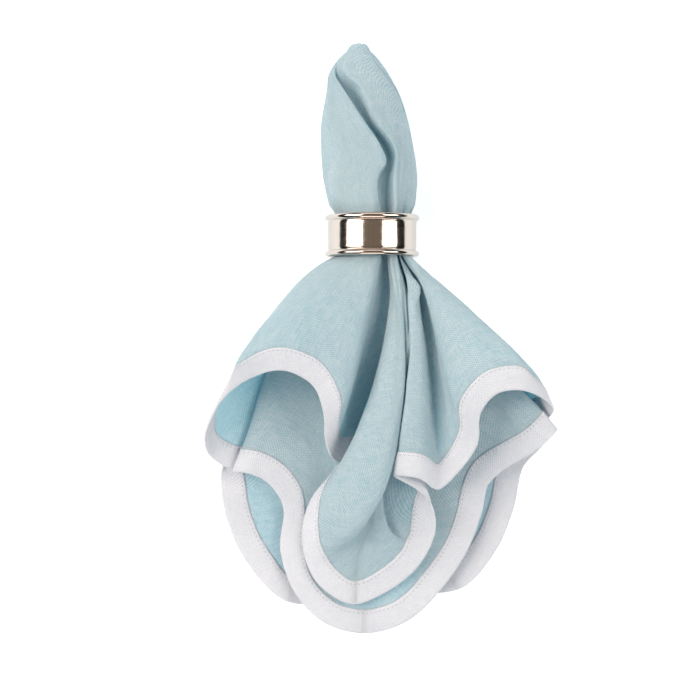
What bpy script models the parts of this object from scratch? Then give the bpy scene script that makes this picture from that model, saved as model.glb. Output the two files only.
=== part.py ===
"""A linen napkin drawn through a polished ring, lying on a table.

The napkin is a light blue panel with a white border bound round its edge. It is pinched at its
middle, the pinch is pulled through the ring, and the four corners fan out on the other side in
loose petals and pleats. The ring lies on its side, so its bore runs along Y.

Sizes are in millimetres from the ring's middle on the table: X to the right of the fan, Y towards
the pinched tail, Z up. The finished part is moved so that its box stands on the origin.
"""
import math

import bpy
import numpy as np
from mathutils import Vector
from mathutils.bvhtree import BVHTree

MM = 0.001

# Ring
RING_LENGTH = 20.5
BAND_RADIUS = 21.75
BORE_RADIUS = 20.3
BEAD_RADIUS = 1.5
RING_FLAT = 0.15        # how far the beads are pressed flat where they touch the table
RING_SIDES = 56
BEAD_STEPS = 5
RING_HEIGHT = BAND_RADIUS + BEAD_RADIUS - RING_FLAT

# Cloth
THICKNESS = 1.0
BORDER_WIDTH = 12.5
SEAM_GAP = 0.6          # from the seam to each piece that meets there
STATION_STEP = 13.0     # longest step along the hem
FAN_ROWS = 7
LAYER_SPACE = 2.2       # least distance between the middles of two layers
EASE_STEPS = 40
MOUTH_Y = -12.6         # where the folds leave the ring
BUNCH_RADIUS = 19.2     # the bunched folds inside the ring
MOUTH_REACH = 18.4
LIP_SOFTNESS = 2.5
BANK_SOFTNESS = 4.5
PARTING_X = 6.5         # the folds fan out to either side of here

# The fold line of the cloth, fold by fold round the fan. Each row is one place on it:
# (name, hem x, y, z, seam x, y, z, mouth x, z). The hem is the outer edge of the border, the seam
# is its inner edge, and the mouth is where the same thread leaves the ring.
FOLDS = {
    "front petal, left half": (
        ("corner", -9, -183, 9.5, -8, -170, 13, 9.3, 37),
        ("left low", -26.5, -172.5, 10.5, -18.5, -163, 15, 9.2, 36.8),
        ("left", -34.5, -151, 11.5, -25, -150, 20, 8.8, 36.2),
        ("left high", -30, -130.5, 16, -24, -126, 26, 8.5, 35.2),
        ("left fold", -15, -116.5, 24, -9, -105, 29, 8.2, 34),
    ),
    "pleat under the petal": (
        ("back layer", -6, -113, 23.5, -2.5, -101.5, 26.5, 9.4, 32.2),
        ("inner fold", 2.5, -108.5, 20.6, 4.5, -97, 22.5, 10, 29.8),
        ("valley floor", -10, -111, 17.6, -7, -98.5, 18.6, 7, 29.8),
        ("valley", -17.5, -111, 21, -14.5, -99.5, 23, 5, 31.6),
    ),
    "left arch": (
        ("flank low", -22.5, -101.5, 32, -16.5, -92.5, 38, 4, 36.5),
        ("flank", -23.5, -86.5, 44, -16, -79.5, 49, 1.8, 39.2),
        ("shoulder", -28.5, -73.5, 51, -24.5, -62.5, 55, -3.5, 40),
        ("crown", -42, -66.5, 55, -43, -56.5, 60, -8, 39),
        ("crown left", -58.5, -70.5, 50, -60, -63.5, 57, -13, 35.8),
        ("left side", -74, -83.5, 40, -68, -71, 46, -16.3, 32),
        ("outer fold", -81.5, -100.5, 27, -76, -88.5, 32, -17.6, 28),
        ("outer low", -78.5, -110.5, 15, -75, -99, 19, -16.5, 25.6),
        ("under", -69.5, -116, 10.5, -66.5, -104, 12.5, -13.6, 24.8),
    ),
    "left pleat": (
        ("inner fold", -58.5, -115.5, 7, -57, -103, 8.5, -9.6, 23.2),
        ("outer fold", -73.5, -113.5, 5.2, -68, -102.5, 5.8, -17.2, 20),
    ),
    "left wing": (
        ("side top", -75.5, -119.5, 2, -64.5, -113, 2.4, -16.9, 17.6),
        ("side high", -75.5, -125.5, 0.8, -63.5, -124, 1, -15.8, 15.2),
        ("side", -72.5, -142, 0.5, -61, -138.5, 0.5, -13, 11.8),
        ("side low", -61, -165.5, 0.5, -51.5, -157, 0.5, -9.8, 9.2),
        ("corner", -41, -183.5, 0.5, -39, -170.5, 0.5, -6, 8),
        ("inner fold", -13.5, -178, 2.2, -13.5, -165, 2.8, -1.6, 8.6),
    ),
    "left return": (
        ("turn", -18.5, -168, 5.9, -17, -155.5, 7.4, -3.4, 11.2),
        ("low", -31.5, -159.5, 6.6, -26.5, -147.5, 7.9, -5.4, 13),
        ("middle", -37.5, -134.5, 6.6, -33, -122.5, 7.6, -6.4, 17.5),
        ("high", -51.5, -117.5, 9.5, -48, -105.5, 11, -8.6, 24.6),
    ),
    "second layer": (
        ("left fold", -68.5, -117, 14, -63.5, -105, 16, -12.8, 27.6),
        ("left tip", -62.5, -117.5, 15, -58, -105.5, 17, -10, 28.6),
        ("left edge", -54.5, -120.5, 12.5, -46.5, -111, 14, -7.4, 27),
        ("left notch", -44.5, -133, 8.5, -36, -126.5, 10.5, -5.4, 24.5),
        ("left side", -45.5, -156, 6, -36, -154, 8.5, -4.4, 22.4),
        ("left low", -39, -176.5, 5, -31, -168.5, 8, -3.6, 21.2),
        ("bottom left", -24, -193, 4, -17.5, -181.5, 6.5, -2.4, 20.4),
        ("corner", -3.5, -198.5, 3.5, -3.5, -185, 5.5, -1, 20),
        ("bottom right", 16.5, -193, 4.2, 12, -181.5, 6.6, 0.7, 20),
        ("right low", 36, -174.5, 5.4, 27.5, -167, 8, 2.2, 20.4),
        ("right side", 49, -154, 7, 38, -150.5, 9.6, 3.4, 21.2),
        ("right high", 55, -137, 8.5, 42.5, -135.5, 9, 4.6, 22.6),
        ("right notch", 59, -121, 12, 50, -111.5, 13, 6.4, 24.6),
        ("right edge", 69, -113.5, 15, 65, -101.5, 17, 8.6, 26.6),
        ("right tip", 82, -105.5, 18, 75.5, -96, 21, 11, 28),
        ("right fold", 90.5, -96, 22, 82.5, -86.5, 26, 13.8, 27.4),
    ),
    "right return": (
        ("high", 79, -104.5, 15, 72.5, -94, 17.5, 9.8, 24.6),
        ("middle", 55, -127.5, 7, 49.5, -115.5, 8, 7, 18.2),
        ("low", 38, -160.5, 5.2, 34, -148.5, 6.2, 5.6, 13),
    ),
    "right wing": (
        ("inner fold", 22, -177, 2.6, 20.5, -164.5, 3.2, 2, 8.6),
        ("corner", 43.5, -177, 0.5, 37.5, -165.5, 0.5, 7, 8.2),
        ("side low", 62.5, -157.5, 0.5, 51.5, -152, 0.5, 11, 9.6),
        ("side", 71.5, -136, 0.5, 59, -133.5, 0.5, 13.6, 12.2),
        ("side high", 76.5, -115, 1.8, 64, -111.5, 2.4, 15.8, 15.4),
    ),
    "right pleat": (
        ("outer fold", 86.5, -101.5, 6.5, 83, -89.5, 7.5, 17.2, 20),
        ("inner fold", 78.5, -95, 12, 75.5, -82.5, 13.5, 10, 22.2),
    ),
    "right arch": (
        ("under", 85.5, -91, 18.5, 82.5, -80.5, 21, 15, 24.4),
        ("outer fold", 88, -86, 29, 84, -77, 34, 17.7, 27.4),
        ("right side", 83, -81, 38, 78, -70.5, 43, 17.4, 30.4),
        ("crown", 70.5, -76, 44, 68, -64, 47, 16.6, 33),
        ("crown left", 59.5, -77.5, 45, 53.5, -67.5, 48, 15.9, 34.6),
        ("shoulder", 52, -86.5, 41, 42, -79.5, 45, 15.2, 34.8),
        ("flank", 51, -101.5, 34, 41.5, -93.5, 38, 15, 33.8),
        ("flank low", 41, -117, 28, 37, -104.5, 31, 15, 31),
    ),
    "side petal": (
        ("tip", 33, -124.5, 27, 31.5, -109, 27.5, 13.6, 26.8),
        ("edge", 22, -118.5, 37, 23, -104.5, 40, 13.4, 35.2),
        ("left fold", 10.5, -117.5, 37, 12, -104, 41, 12.2, 35.6),
        ("under", 19.5, -123, 30, 17.5, -111, 33, 12.9, 30.8),
        ("right fold", 29, -132, 25, 24.5, -120, 27, 12, 28.8),
    ),
    "front petal, right half": (
        ("right high", 31.5, -141.5, 20, 22.5, -140.5, 18, 11.8, 33.6),
        ("right", 24, -162.5, 13, 15, -153.5, 16.5, 11.6, 35.2),
        ("right low", 6, -177.5, 10.5, 2.5, -165, 14.5, 10.3, 36.6),
    ),
}

# How far sideways a fold sets off as it leaves the ring: (place beside the parting, slant).
FLARE = (
    (-1.25, -4.8),
    (-1.0, -3.0),
    (-0.75, -1.6),
    (-0.5, -0.7),
    (-0.25, -0.22),
    (0, 0),
    (0.1, 0.32),
    (0.28, 0.65),
    (0.38, 0.75),
    (0.43, 1.5),
    (0.46, 1.6),
    (0.5, 1.2),
    (0.6, 1.0),
)

# The bunch and the tail beyond it: (y, left x, right x, bottom z, top z, roundness, groove's left x,
# groove's right x, groove depth). The pleats die out as roundness goes to 1. The groove runs slantwise
# between the cloth that laps over from the left and the cloth under it.
TAIL = (
    (12.6, -19.2, 19.2, 3.9, 42.3, 0.6, 3.6, 9.2, 3),
    (19, -22.6, 21.5, 1.4, 41.8, 0.8, 2.6, 9.2, 5),
    (28.5, -23.8, 22, 0.6, 40.5, 1.0, 4.0, 9.4, 6),
    (39, -24.6, 20.8, 0.5, 37, 1.0, 5.4, 10.0, 7),
    (52, -25, 18.4, 0.5, 31.5, 1.0, -2.6, 1.6, 7),
    (66, -23.2, 15, 0.5, 25.5, 1.0, -10.4, -4.4, 6),
    (79, -21.3, 9, 0.5, 19, 1.0, -17.5, -13, 2.5),
    (89.5, -15, 1.8, 2, 13, 1.0, -13, -11, 0),
)
TAIL_TIP = (-6.3, 96.4, 6.5)

LINEN_BLUE = (0.49, 0.64, 0.67)
LINEN_WHITE = (0.80, 0.79, 0.81)
SILVER = (0.86, 0.84, 0.81)


def clear_scene():
    for old in list(bpy.data.objects):
        bpy.data.objects.remove(old, do_unlink=True)


def material(name, colour, roughness, metallic):
    made = bpy.data.materials.new(name)
    made.use_nodes = True
    shader = made.node_tree.nodes["Principled BSDF"]
    shader.inputs["Base Color"].default_value = (*colour, 1.0)
    shader.inputs["Roughness"].default_value = roughness
    shader.inputs["Metallic"].default_value = metallic
    return made


def unit(vectors):
    return vectors / np.maximum(np.linalg.norm(vectors, axis=-1, keepdims=True), 1e-9)


def fold_places():
    """Every row of FOLDS in turn, as hem, seam and mouth points, with the seam a border's width in."""
    rows = np.array([row[1:] for fold in FOLDS.values() for row in fold], dtype=float)
    hem, seam = rows[:, 0:3], rows[:, 3:6]
    seam = hem + unit(seam - hem) * BORDER_WIDTH
    mouth = np.column_stack([rows[:, 6], np.full(len(rows), MOUTH_Y), rows[:, 7]])
    return np.hstack([hem, seam, mouth])


def smooth_loop(places, step):
    """Points along a closed smooth curve through the places, at most step apart on the hem."""
    count = len(places)
    gaps = np.array([np.linalg.norm(places[(i + 1) % count, :3] - places[i, :3]) for i in range(count)])
    slopes = np.empty_like(places)
    for i in range(count):
        before, after = gaps[i - 1], gaps[i]
        back = (places[i] - places[i - 1]) / before
        ahead = (places[(i + 1) % count] - places[i]) / after
        slopes[i] = (back * after + ahead * before) / (before + after)
    points = []
    for i in range(count):
        j = (i + 1) % count
        pieces = max(1, math.ceil(gaps[i] / step))
        for k in range(pieces):
            t = k / pieces
            points.append(
                (1 + 2 * t) * (1 - t) ** 2 * places[i]
                + t * (1 - t) ** 2 * gaps[i] * slopes[i]
                + t * t * (3 - 2 * t) * places[j]
                + t * t * (t - 1) * gaps[i] * slopes[j]
            )
    return np.array(points)


def fan_grid(stations):
    """Rows of points from the bunch out to the seam, one column for each station."""
    seam, hem, mouth = stations[:, 3:6], stations[:, 0:3], stations[:, 6:9]
    seam = hem + unit(seam - hem) * BORDER_WIDTH
    span = np.linalg.norm(seam - mouth, axis=1, keepdims=True)
    beside = (mouth[:, 0] - PARTING_X) / BUNCH_RADIUS
    flare = np.interp(beside, *np.transpose(FLARE))
    above = (mouth[:, 2] - RING_HEIGHT) / BUNCH_RADIUS
    rise = np.where(above > 0, 0.5, 0.1) * above
    leave = unit(np.column_stack([flare, -np.ones(len(mouth)), rise]))
    leave = unit(leave + 0.4 * unit(seam - mouth))
    arrive = unit(hem - seam)
    push = np.clip(span / 100, 0.9, 1.35)
    pull = np.clip((span - 40) / 100, 0.35, 0.95)
    grid = [mouth]
    for row in range(1, FAN_ROWS + 1):
        t = row / FAN_ROWS
        grid.append(
            (1 + 2 * t) * (1 - t) ** 2 * mouth
            + t * (1 - t) ** 2 * span * push * leave
            + t * t * (3 - 2 * t) * seam
            + t * t * (t - 1) * span * pull * arrive
        )
    grid += [(seam + hem) / 2, hem]
    return np.array(grid)


def step_up(x, start, width):
    t = np.clip((x - start) / width + 0.5, 0, 1)
    return t * t * (3 - 2 * t)


def tail_rows(mouth):
    """The mouth's folds carried back through the ring, easing into a plain tail as the pleats die out.
    The cloth's left side laps over a slanting groove, whose columns follow it along the tail."""
    bunch = mouth[:, (0, 2)] - (0, RING_HEIGHT)
    steps = np.linalg.norm(np.roll(bunch, -1, axis=0) - bunch, axis=1)
    turn = 2 * math.pi * (np.cumsum(steps) - steps[0]) / steps.sum()
    angle = (math.atan2(bunch[0, 1], bunch[0, 0]) + turn + math.pi / 2) % (2 * math.pi) - math.pi / 2
    lip_knots = None
    rows = []
    for y, left, right, bottom, top, roundness, groove_left, groove_right, groove_depth in TAIL:
        half_width, half_height = (right - left) / 2, (top - bottom) / 2
        ends = np.clip((np.array([groove_right, groove_left]) - (left + right) / 2) / half_width, -1, 1)
        knots = [-math.pi / 2, *np.arccos(ends), 1.5 * math.pi]
        lip_knots = lip_knots or knots
        turned = np.interp(angle, lip_knots, knots)
        plain = np.column_stack([np.cos(turned), np.sin(turned)])
        section = (1 - roundness) * bunch / BUNCH_RADIUS + roundness * plain
        x = (left + right) / 2 + half_width * section[:, 0]
        z = (bottom + top) / 2 + half_height * section[:, 1]
        dip = step_up(x, groove_left, LIP_SOFTNESS) * (1 - step_up(x, groove_right, BANK_SOFTNESS))
        z -= np.where(section[:, 1] > 0, groove_depth * dip, 0)
        rows.append(np.column_stack([x, np.full(len(x), y), z]))
    return np.array(rows[::-1])


def ease_layers(grid):
    """Move layers that lie closer than LAYER_SPACE apart, a little at a time, and keep them off the table."""
    rows, columns = grid.shape[:2]
    faces, tags = [], []
    for row in range(rows - 1):
        for column in range(columns):
            after = (column + 1) % columns
            a, b = row * columns + column, row * columns + after
            faces += [(a, b, b + columns), (a, b + columns, a + columns)]
            tags += [column, column]
    flat = grid.reshape(-1, 3).copy()
    mouth_rows = columns
    for _ in range(EASE_STEPS):
        tree = BVHTree.FromPolygons(flat.tolist(), faces)
        push = np.zeros_like(flat)
        share = np.zeros(len(flat))
        for index, point in enumerate(flat):
            for place, normal, face, distance in tree.find_nearest_range(Vector(point), LAYER_SPACE):
                apart = (tags[face] - index) % columns
                if apart in (0, 1, 2, columns - 1, columns - 2) or distance < 1e-5:
                    continue
                away = (Vector(point) - place) / distance
                if abs(away.dot(normal)) < 0.6:
                    continue
                step = np.array(away) * (LAYER_SPACE - distance) * 0.5
                push[index] += step
                share[index] += 1
                for corner in faces[face]:
                    push[corner] -= step
                    share[corner] += 1
        flat += push / np.maximum(share, 1)[:, None]
        flat[:, 2] = np.maximum(flat[:, 2], THICKNESS / 2)
        bunch = flat[:mouth_rows, (0, 2)] - (0, RING_HEIGHT)
        reach = np.linalg.norm(bunch, axis=1)
        bunch *= np.minimum(1, MOUTH_REACH / reach)[:, None]
        flat[:mouth_rows, 0] = bunch[:, 0]
        flat[:mouth_rows, 2] = bunch[:, 1] + RING_HEIGHT
        if not share.any():
            break
    return flat.reshape(rows, columns, 3)


def grid_normals(grid):
    along = np.roll(grid, -1, axis=1) - np.roll(grid, 1, axis=1)
    out = np.gradient(grid, axis=0)
    return unit(np.cross(along, out))


def closed_band(grid, normals, thickness, tip=None):
    """A closed sheet of the given thickness on a grid whose columns run all the way round. With a tip,
    its first row closes on that point, which is then the pole of both faces."""
    rows, columns = grid.shape[:2]
    lifted = grid.copy()
    lifted[..., 2] = np.maximum(lifted[..., 2], thickness / 2)
    top = lifted + normals * thickness / 2
    under = lifted - normals * thickness / 2
    points = np.concatenate([top.reshape(-1, 3), under.reshape(-1, 3)])
    points[:, 2] = np.maximum(points[:, 2], 0.0)
    back = rows * columns
    faces = []
    for row in range(rows - 1):
        for column in range(columns):
            after = (column + 1) % columns
            a, b = row * columns + column, row * columns + after
            c, d = a + columns, b + columns
            faces.append((a, b, d, c))
            faces.append((back + a, back + c, back + d, back + b))
    last = (rows - 1) * columns
    if tip is not None:
        outer = np.array(tip)
        inner = outer + unit(grid[0].mean(axis=0) - outer) * 2 * thickness
        points = np.concatenate([points, [outer, inner]])
    for column in range(columns):
        after = (column + 1) % columns
        faces.append((last + column, last + after, back + last + after, back + last + column))
        if tip is None:
            faces.append((column, back + column, back + after, after))
        else:
            faces.append((after, column, 2 * back))
            faces.append((back + column, back + after, 2 * back + 1))
    return points, faces


def ring_body():
    """A turned band with a rolled bead at each end, standing on the flats of its beads."""
    bead_y = RING_LENGTH / 2 - BEAD_RADIUS
    start, stop = math.radians(165), math.radians(-80)
    arc = []
    for step in range(BEAD_STEPS + 1):
        angle = start + (stop - start) * step / BEAD_STEPS
        arc.append((BAND_RADIUS + BEAD_RADIUS * math.cos(angle), bead_y + BEAD_RADIUS * math.sin(angle)))
    profile = arc + [(radius, -y) for radius, y in reversed(arc)]
    points, faces = [], []
    for side in range(RING_SIDES):
        angle = 2 * math.pi * (side + 0.5) / RING_SIDES
        for radius, y in profile:
            z = RING_HEIGHT - radius * math.cos(angle)
            points.append((radius * math.sin(angle), y, max(z, 0.0)))
    count = len(profile)
    for side in range(RING_SIDES):
        after = (side + 1) % RING_SIDES
        for k in range(count):
            nxt = (k + 1) % count
            faces.append((side * count + k, after * count + k, after * count + nxt, side * count + nxt))
    return np.array(points), faces


def add_body(name, body, shift, finish):
    points, faces = body
    mesh = bpy.data.meshes.new(name)
    mesh.from_pydata([tuple(p) for p in (points + shift) * MM], [], faces)
    mesh.materials.append(finish)
    made = bpy.data.objects.new(name, mesh)
    bpy.context.collection.objects.link(made)
    mesh.shade_smooth()
    return made


def main():
    clear_scene()
    stations = smooth_loop(fold_places(), STATION_STEP)
    cloth = ease_layers(fan_grid(stations))
    seam, middle, hem = cloth[-3:]
    panel_edge = seam - unit(seam - cloth[-4]) * SEAM_GAP
    border_edge = seam + unit(middle - seam) * SEAM_GAP
    sheet = np.concatenate([tail_rows(cloth[0]), cloth[:-3], [panel_edge, border_edge, middle, hem]])
    normals = grid_normals(sheet)
    panel = closed_band(sheet[:-3], normals[:-3], THICKNESS, TAIL_TIP)
    border = closed_band(sheet[-3:], normals[-3:], THICKNESS)
    ring = ring_body()

    every = np.concatenate([panel[0], border[0], ring[0]])
    low, high = every.min(axis=0), every.max(axis=0)
    shift = np.array([-(low[0] + high[0]) / 2, -(low[1] + high[1]) / 2, -low[2]])

    blue = material("light blue linen", LINEN_BLUE, 0.9, 0.0)
    white = material("white linen", LINEN_WHITE, 0.9, 0.0)
    silver = material("polished silver plate", SILVER, 0.08, 1.0)
    add_body("panel", panel, shift, blue)
    add_body("border", border, shift, white)
    add_body("ring", ring, shift, silver)


main()
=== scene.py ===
"""The looks of a linen napkin drawn through a polished ring: the cloth as one thin gathered sheet,
its bound border, the stitching, and the turned ring. Sizes are in millimetres from the ring's
middle on the table, as in the part's source, and become metres when a piece is made."""
import math

import bpy
import numpy as np
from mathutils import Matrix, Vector
from mathutils.bvhtree import BVHTree


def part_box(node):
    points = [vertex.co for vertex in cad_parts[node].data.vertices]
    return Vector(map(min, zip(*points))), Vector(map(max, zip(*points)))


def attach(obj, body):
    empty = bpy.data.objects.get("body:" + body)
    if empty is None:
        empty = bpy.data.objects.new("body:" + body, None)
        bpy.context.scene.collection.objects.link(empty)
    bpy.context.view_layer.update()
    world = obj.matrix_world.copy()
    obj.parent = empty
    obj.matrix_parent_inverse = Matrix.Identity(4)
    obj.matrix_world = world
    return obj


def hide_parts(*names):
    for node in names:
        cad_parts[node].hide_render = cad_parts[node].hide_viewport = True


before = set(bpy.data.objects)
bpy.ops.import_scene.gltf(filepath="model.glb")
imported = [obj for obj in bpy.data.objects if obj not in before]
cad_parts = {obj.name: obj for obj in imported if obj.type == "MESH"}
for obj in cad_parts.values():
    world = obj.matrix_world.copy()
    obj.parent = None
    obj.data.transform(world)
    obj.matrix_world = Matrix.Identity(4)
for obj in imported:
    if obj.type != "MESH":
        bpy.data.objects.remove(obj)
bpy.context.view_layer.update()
RING_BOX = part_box("ring")

MM = 0.001
RING_MIDDLE = np.array([(RING_BOX[0][0] + RING_BOX[1][0]) / 2, (RING_BOX[0][1] + RING_BOX[1][1]) / 2, 0]) / MM

# Ring
RING_LENGTH = 20.5
BAND_RADIUS = 21.75
BORE_RADIUS = 20.3
RING_SLIP = -1.2            # how far the ring has slipped towards the petals
BEAD_RADIUS = 1.5
RING_HEIGHT = 23.1

# Napkin as cut
SIDE = 400.0
CORNER_RADIUS = 20.0
PANEL_THICKNESS = 0.4
BINDING_THICKNESS = 0.34
BORDER_WIDTH = 12.5
STITCH_INSET = 1.5

# Folds
STATION_STEP = 6.5
FAN_ROWS = 12
LAYER_SPACE = 1.7
EASE_STEPS = 24
MOUTH_Y = -11.2
PARTING_X = 6.5         # the folds fan out to either side of here
BUNCH_RADIUS = 19.2
MOUTH_REACH = 19.5
COLUMN_SPLIT = 3
FINE_ROWS = 37

# The fold line of the cloth, fold by fold round the fan. Each row is one place on it:
# (name, hem x, y, z, seam x, y, z, mouth x, z). The hem is the outer edge of the border, the seam
# is its inner edge, and the mouth is where the same thread leaves the ring.
FOLDS = {
    "front petal, left half": (
        ("corner", -9, -183, 9.5, -8, -170, 13, 9.3, 37),
        ("left low", -26.5, -172.5, 10.5, -18.5, -163, 15, 9.2, 36.8),
        ("left", -34.5, -151, 11.5, -25, -150, 20, 8.8, 36.2),
        ("left high", -30, -130.5, 16, -24, -126, 26, 8.5, 35.2),
        ("left fold", -15, -116.5, 24, -9, -105, 29, 8.2, 34),
    ),
    "pleat under the petal": (
        ("back layer", -6, -113, 23.5, -2.5, -101.5, 26.5, 9.4, 32.2),
        ("inner fold", 2.5, -108.5, 20.6, 4.5, -97, 22.5, 10, 29.8),
        ("valley floor", -10, -111, 17.6, -7, -98.5, 18.6, 7, 29.8),
        ("valley", -17.5, -111, 21, -14.5, -99.5, 23, 5, 31.6),
    ),
    "left arch": (
        ("flank low", -22.5, -101.5, 32, -16.5, -92.5, 38, 4, 36.5),
        ("flank", -23.5, -86.5, 44, -16, -79.5, 49, 1.8, 39.2),
        ("shoulder", -28.5, -73.5, 51, -24.5, -62.5, 55, -3.5, 40),
        ("crown", -42, -66.5, 55, -43, -56.5, 60, -8, 39),
        ("crown left", -58.5, -70.5, 50, -60, -63.5, 57, -13, 35.8),
        ("left side", -74, -83.5, 40, -68, -71, 46, -16.3, 32),
        ("outer fold", -81.5, -100.5, 27, -76, -88.5, 32, -17.6, 28),
        ("outer low", -78.5, -110.5, 15, -75, -99, 19, -16.5, 25.6),
        ("under", -69.5, -116, 10.5, -66.5, -104, 12.5, -13.6, 24.8),
    ),
    "left pleat": (
        ("inner fold", -58.5, -115.5, 7, -57, -103, 8.5, -9.6, 23.2),
        ("outer fold", -73.5, -113.5, 5.2, -68, -102.5, 5.8, -17.2, 20),
    ),
    "left wing": (
        ("side top", -75.5, -119.5, 2, -64.5, -113, 2.4, -16.9, 17.6),
        ("side high", -75.5, -125.5, 0.8, -63.5, -124, 1, -15.8, 15.2),
        ("side", -72.5, -142, 0.5, -61, -138.5, 0.5, -13, 11.8),
        ("side low", -61, -165.5, 0.5, -51.5, -157, 0.5, -9.8, 9.2),
        ("corner", -41, -183.5, 0.5, -39, -170.5, 0.5, -6, 8),
        ("inner fold", -13.5, -178, 2.2, -13.5, -165, 2.8, -1.6, 8.6),
    ),
    "left return": (
        ("turn", -18.5, -168, 5.9, -17, -155.5, 7.4, -3.4, 11.2),
        ("low", -31.5, -159.5, 6.6, -26.5, -147.5, 7.9, -5.4, 13),
        ("middle", -37.5, -134.5, 6.6, -33, -122.5, 7.6, -6.4, 17.5),
        ("high", -51.5, -117.5, 9.5, -48, -105.5, 11, -8.6, 24.6),
    ),
    "second layer": (
        ("left fold", -68.5, -117, 14, -63.5, -105, 16, -12.8, 27.6),
        ("left tip", -62.5, -117.5, 15, -58, -105.5, 17, -10, 28.6),
        ("left edge", -54.5, -120.5, 12.5, -46.5, -111, 14, -7.4, 27),
        ("left notch", -44.5, -133, 8.5, -36, -126.5, 10.5, -5.4, 24.5),
        ("left side", -45.5, -156, 6, -36, -154, 8.5, -4.4, 22.4),
        ("left low", -39, -176.5, 5, -31, -168.5, 8, -3.6, 21.2),
        ("bottom left", -24, -193, 4, -17.5, -181.5, 6.5, -2.4, 20.4),
        ("corner", -3.5, -198.5, 3.5, -3.5, -185, 5.5, -1, 20),
        ("bottom right", 16.5, -193, 4.2, 12, -181.5, 6.6, 0.7, 20),
        ("right low", 36, -174.5, 5.4, 27.5, -167, 8, 2.2, 20.4),
        ("right side", 49, -154, 7, 38, -150.5, 9.6, 3.4, 21.2),
        ("right high", 55, -137, 8.5, 42.5, -135.5, 9, 4.6, 22.6),
        ("right notch", 59, -121, 12, 50, -111.5, 13, 6.4, 24.6),
        ("right edge", 69, -113.5, 15, 65, -101.5, 17, 8.6, 26.6),
        ("right tip", 82, -105.5, 18, 75.5, -96, 21, 11, 28),
        ("right fold", 90.5, -96, 22, 82.5, -86.5, 26, 13.8, 27.4),
    ),
    "right return": (
        ("high", 79, -104.5, 15, 72.5, -94, 17.5, 9.8, 24.6),
        ("middle", 55, -127.5, 7, 49.5, -115.5, 8, 7, 18.2),
        ("low", 38, -160.5, 5.2, 34, -148.5, 6.2, 5.6, 13),
    ),
    "right wing": (
        ("inner fold", 22, -177, 2.6, 20.5, -164.5, 3.2, 2, 8.6),
        ("corner", 43.5, -177, 0.5, 37.5, -165.5, 0.5, 7, 8.2),
        ("side low", 62.5, -157.5, 0.5, 51.5, -152, 0.5, 11, 9.6),
        ("side", 71.5, -136, 0.5, 59, -133.5, 0.5, 13.6, 12.2),
        ("side high", 76.5, -115, 1.8, 64, -111.5, 2.4, 15.8, 15.4),
    ),
    "right pleat": (
        ("outer fold", 86.5, -101.5, 6.5, 83, -89.5, 7.5, 17.2, 20),
        ("inner fold", 78.5, -95, 12, 75.5, -82.5, 13.5, 10, 22.2),
    ),
    "right arch": (
        ("under", 85.5, -91, 18.5, 82.5, -80.5, 21, 15, 24.4),
        ("outer fold", 88, -86, 29, 84, -77, 34, 17.7, 27.4),
        ("right side", 83, -81, 38, 78, -70.5, 43, 17.4, 30.4),
        ("crown", 70.5, -76, 44, 68, -64, 47, 16.6, 33),
        ("crown left", 59.5, -77.5, 45, 53.5, -67.5, 48, 15.9, 34.6),
        ("shoulder", 52, -86.5, 41, 42, -79.5, 45, 15.2, 34.8),
        ("flank", 51, -101.5, 34, 41.5, -93.5, 38, 15, 33.8),
        ("flank low", 41, -117, 28, 37, -104.5, 31, 15, 31),
    ),
    "side petal": (
        ("tip", 33, -124.5, 27, 31.5, -109, 27.5, 13.6, 26.8),
        ("edge", 22, -118.5, 37, 23, -104.5, 40, 13.4, 35.2),
        ("left fold", 10.5, -117.5, 37, 12, -104, 41, 12.2, 35.6),
        ("under", 19.5, -123, 30, 17.5, -111, 33, 12.9, 30.8),
        ("right fold", 29, -132, 25, 24.5, -120, 27, 12, 28.8),
    ),
    "front petal, right half": (
        ("right high", 31.5, -141.5, 20, 22.5, -140.5, 18, 11.8, 33.6),
        ("right", 24, -162.5, 13, 15, -153.5, 16.5, 11.6, 35.2),
        ("right low", 6, -177.5, 10.5, 2.5, -165, 14.5, 10.3, 36.6),
    ),
}

# Rows of FOLDS that lie on a corner or on the middle of a side of the cut square, in turn.
CUT_PLACES = (
    ("front petal, left half", "corner", 0.0),
    ("left arch", "crown", 0.125),
    ("left wing", "corner", 0.25),
    ("left return", "middle", 0.375),
    ("second layer", "corner", 0.5),
    ("right return", "middle", 0.625),
    ("right wing", "corner", 0.75),
    ("right arch", "crown", 0.875),
)

# How far sideways a fold sets off as it leaves the ring: (place beside the parting, slant).
FLARE = (
    (-1.25, -4.8),
    (-1.0, -3.0),
    (-0.75, -1.6),
    (-0.5, -0.7),
    (-0.25, -0.22),
    (0, 0),
    (0.1, 0.32),
    (0.28, 0.65),
    (0.38, 0.75),
    (0.43, 1.5),
    (0.46, 1.6),
    (0.5, 1.2),
    (0.6, 1.0),
)

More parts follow.
